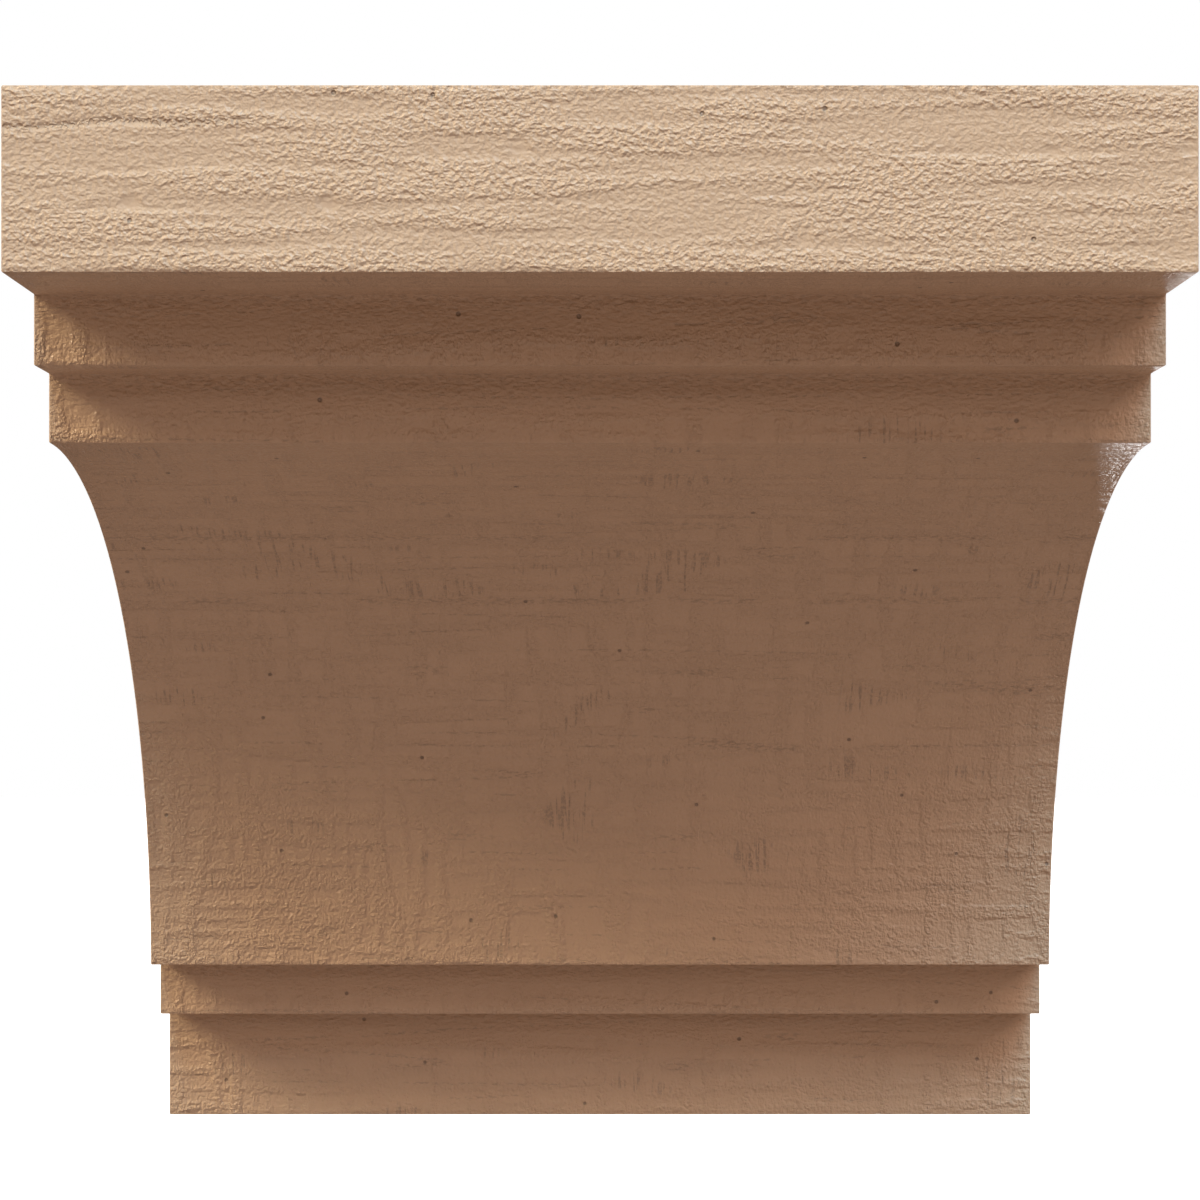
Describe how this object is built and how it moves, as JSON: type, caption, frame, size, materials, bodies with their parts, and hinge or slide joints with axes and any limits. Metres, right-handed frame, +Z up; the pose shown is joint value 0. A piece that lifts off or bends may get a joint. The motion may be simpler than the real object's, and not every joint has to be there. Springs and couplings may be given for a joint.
{
  "type": "corbel",
  "caption": "Square stepped corbel: thick top slab over stepped fillets, a deep concave cove and a narrow foot, in rough-sawn imitation timber primed tan.",
  "frame": {"origin": "middle of the flat back face, at half the height and half the width", "axes": "+Y is the back face's outward normal, into the wall, so the front faces -Y; +Z is up; +X is to the right seen from the front"},
  "size_m": [0.3048, 0.3048, 0.3048],
  "materials": {
    "rough_sawn_primed": "matte"
  },
  "bodies": {
    "root": {"corbel": "rough_sawn_primed"}
  },
  "joints": []
}
